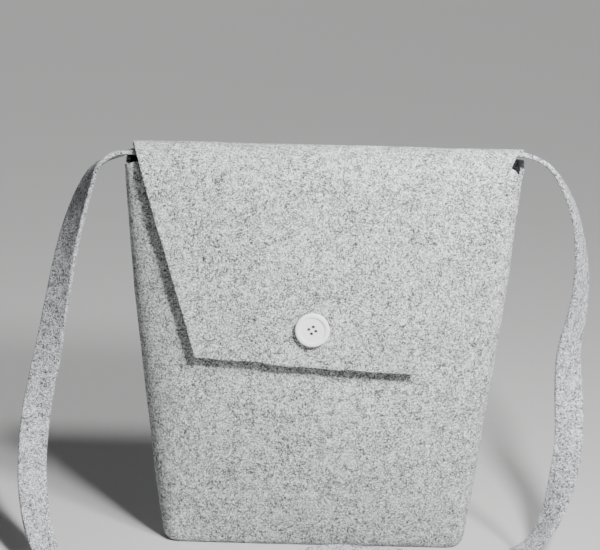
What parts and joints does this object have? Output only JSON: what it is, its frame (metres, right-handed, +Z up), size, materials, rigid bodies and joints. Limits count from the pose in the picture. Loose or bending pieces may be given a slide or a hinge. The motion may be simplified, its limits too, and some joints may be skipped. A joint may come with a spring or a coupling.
{
  "type": "felt shoulder bag",
  "caption": "Upright felt shoulder bag with a boxed base, slanted trapezoid flap, decorative button over a magnetic snap, and a flat shoulder strap.",
  "frame": {"origin": "centre of the flat base, on the surface that the bag stands on", "axes": "+Z up, the front with the flap faces -Y, +X to the right seen from the front"},
  "size_m": [0.3984, 0.1332, 0.2802],
  "materials": {
    "felt": "grey melange felt, 3 mm",
    "strap_felt": "grey melange felt band",
    "seam_thread": "spun thread",
    "button_resin": "glossy",
    "button_thread": "spun thread",
    "snap_metal": "nickel plated",
    "magnet": "nickel plated magnet"
  },
  "bodies": {
    "bag": {"front_panel": "felt", "back_panel": "felt", "side_seam_thread_left": "seam_thread", "side_seam_thread_right": "seam_thread", "base_seam_thread": "seam_thread", "corner_seam_thread_left": "seam_thread", "corner_seam_thread_right": "seam_thread", "strap_end_left": "strap_felt", "strap_end_right": "strap_felt", "strap_stitch_left": "seam_thread", "strap_stitch_right": "seam_thread", "snap_socket": "snap_metal", "snap_magnet": "magnet", "snap_socket_washer": "snap_metal"},
    "flap_top": {"flap_top": "felt"},
    "flap_front": {"flap_front": "felt", "button": "button_resin", "button_thread": "button_thread", "snap_stud": "snap_metal", "snap_stud_washer": "snap_metal"},
    "strap": {"strap": "strap_felt"}
  },
  "joints": [
    {"name": "flap_hinge", "type": "hinge", "parent": "bag", "child": "flap_top", "pos_m": [0, 0.0125, 0.277], "axis": [-1, 0, 0], "range_deg": [0, 110]},
    {"name": "flap_crease", "type": "hinge", "parent": "flap_top", "child": "flap_front", "pos_m": [0, -0.02186, 0.27], "axis": [-1, 0, 0], "range_deg": [0, 68]},
    {"name": "strap_lift", "type": "hinge", "parent": "bag", "child": "strap", "pos_m": [0, 0, 0.274], "axis": [-1, 0, 0], "range_deg": [0, 165]}
  ],
  "couplings": [
    {"joint": "flap_crease", "follows": "flap_hinge", "ratio": 0.6}
  ]
}
